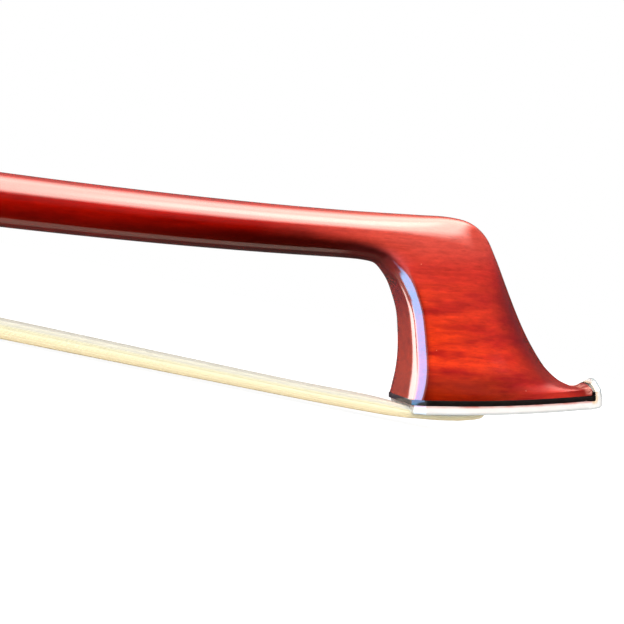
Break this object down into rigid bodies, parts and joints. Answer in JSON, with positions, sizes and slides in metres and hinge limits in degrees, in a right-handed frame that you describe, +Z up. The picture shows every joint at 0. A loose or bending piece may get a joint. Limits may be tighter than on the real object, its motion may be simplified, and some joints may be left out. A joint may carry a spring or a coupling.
{
  "type": "cello bow",
  "caption": "Cello bow: cambered round stick with a swan-bill head and tip plate, hair, ebony frog with a ferrule, and a screw button that slides the frog.",
  "frame": {"origin": "middle of the bow's length, on its plane of symmetry, at the surface that it stands on, hair down", "axes": "+X along the bow from the button to the head, +Z up from the hair to the stick, +Y across"},
  "size_m": [0.716, 0.0148, 0.0361],
  "materials": {
    "varnished_wood": "glossy red-brown varnish over fine straight grain",
    "ebony": "polished black wood",
    "softwood": "plain cut wood",
    "bone": "polished white bone",
    "pearl": "polished mother of pearl",
    "horsehair": "natural white horsehair",
    "thread": "bound thread",
    "leather": "fine black leather",
    "wire": "wound silver-coloured wire",
    "nickel_silver": "polished nickel silver",
    "brass": "turned brass",
    "steel": "plain steel"
  },
  "bodies": {
    "stick": {"stick": "varnished_wood", "head_liner": "ebony", "tip_plate": "bone", "head_plug": "softwood", "head_hair_knot": "thread", "hair_ribbon": "horsehair", "thumb_leather": "leather", "lapping": "wire"},
    "frog": {"frog_body": "ebony", "underslide": "nickel_silver", "underslide_screw_1": "brass", "underslide_screw_2": "brass", "heel_plate": "nickel_silver", "heel_pin_1": "nickel_silver", "heel_pin_2": "nickel_silver", "heel_pin_3": "nickel_silver", "slide_pearl": "pearl", "slide_backing": "ebony", "frog_plug": "softwood", "frog_hair_knot": "thread", "ferrule": "nickel_silver", "ferrule_wedge": "softwood", "eyelet": "brass", "eye_pearl_left": "pearl", "eye_ring_left": "nickel_silver", "eye_pearl_right": "pearl", "eye_ring_right": "nickel_silver"},
    "screw": {"adjusting_screw": "steel", "button_front_ring": "nickel_silver", "button_core": "ebony", "button_rear_cap": "nickel_silver", "button_pearl": "pearl"}
  },
  "joints": [
    {"name": "frog_slide", "type": "slide", "parent": "stick", "child": "frog", "axis": [-0.9969, 0, 0.0785], "range_m": [0, 0.0056], "deforming": ["hair_ribbon"]},
    {"name": "screw_turn", "type": "hinge", "parent": "stick", "child": "screw", "pos_m": [-0.34272, 0, 0.02991], "axis": [0.9969, 0, -0.0785], "range_deg": [0, 2880]}
  ],
  "couplings": [
    {"joint": "screw_turn", "follows": "frog_slide", "rad_per_m": 8976}
  ]
}
